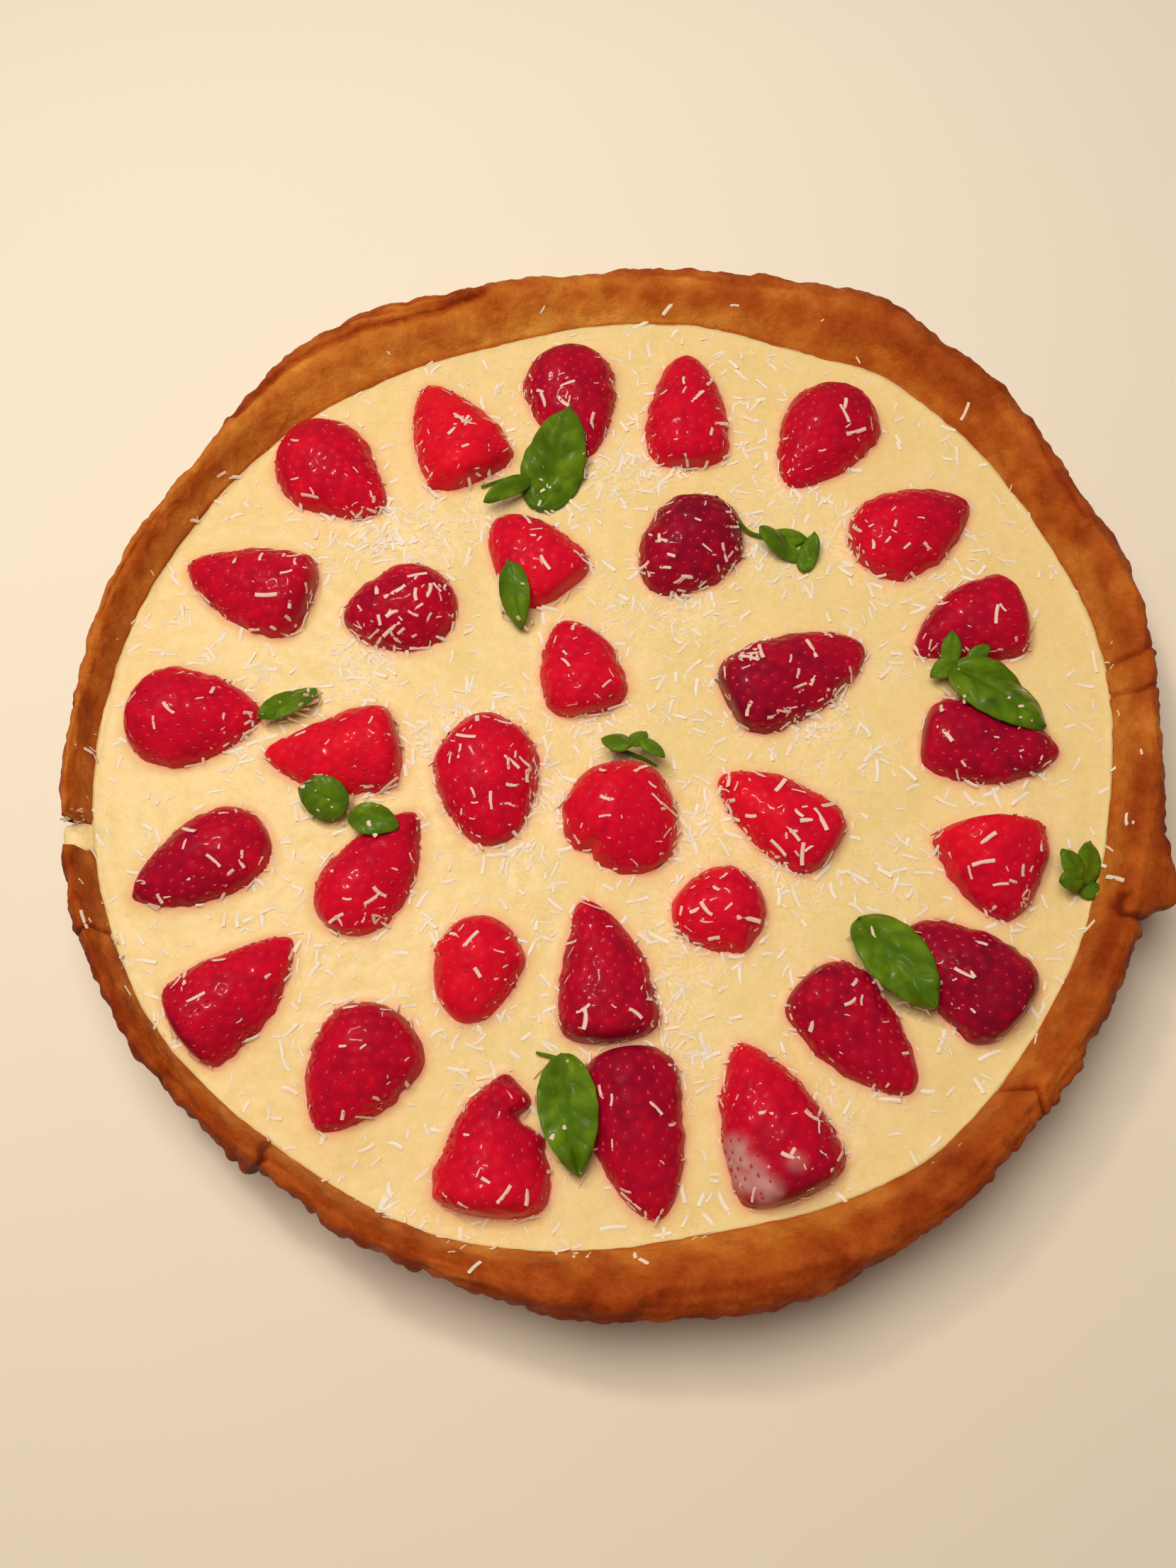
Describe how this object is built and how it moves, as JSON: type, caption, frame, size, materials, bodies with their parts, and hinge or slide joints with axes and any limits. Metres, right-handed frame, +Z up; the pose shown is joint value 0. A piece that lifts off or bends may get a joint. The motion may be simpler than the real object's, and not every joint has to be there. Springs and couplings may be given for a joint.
{
  "type": "strawberry tart",
  "caption": "Round fluted shortcrust tart filled with pale custard cream, topped with halved strawberries and basil leaves.",
  "frame": {"origin": "middle of the flat underside that the tart rests on", "axes": "+Z up out of the filling, +Y away from the side it is looked at from, +X to the right"},
  "size_m": [0.2809, 0.2867, 0.034],
  "materials": {
    "crust": "baked shortcrust, dry and mottled",
    "cream": "set custard cream, softly moist",
    "strawberry": "moist strawberry skin",
    "leaf": "fresh basil leaf"
  },
  "bodies": {
    "root": {"crust": "crust", "cream": "cream", "strawberry_01": "strawberry", "strawberry_02": "strawberry", "strawberry_03": "strawberry", "strawberry_04": "strawberry", "strawberry_05": "strawberry", "strawberry_06": "strawberry", "strawberry_07": "strawberry", "strawberry_08": "strawberry", "strawberry_09": "strawberry", "strawberry_10": "strawberry", "strawberry_11": "strawberry", "strawberry_12": "strawberry", "strawberry_13": "strawberry", "strawberry_14": "strawberry", "strawberry_15": "strawberry", "strawberry_16": "strawberry", "strawberry_17": "strawberry", "strawberry_18": "strawberry", "strawberry_19": "strawberry", "strawberry_20": "strawberry", "strawberry_21": "strawberry", "strawberry_22": "strawberry", "strawberry_23": "strawberry", "strawberry_24": "strawberry", "strawberry_25": "strawberry", "strawberry_26": "strawberry", "strawberry_27": "strawberry", "strawberry_28": "strawberry", "strawberry_29": "strawberry", "strawberry_30": "strawberry", "strawberry_31": "strawberry", "strawberry_32": "strawberry", "basil_leaf_01": "leaf", "basil_leaf_02": "leaf", "basil_leaf_03": "leaf", "basil_leaf_04": "leaf", "basil_leaf_05": "leaf", "basil_leaf_06": "leaf", "basil_leaf_07": "leaf", "basil_leaf_08": "leaf"}
  },
  "joints": []
}
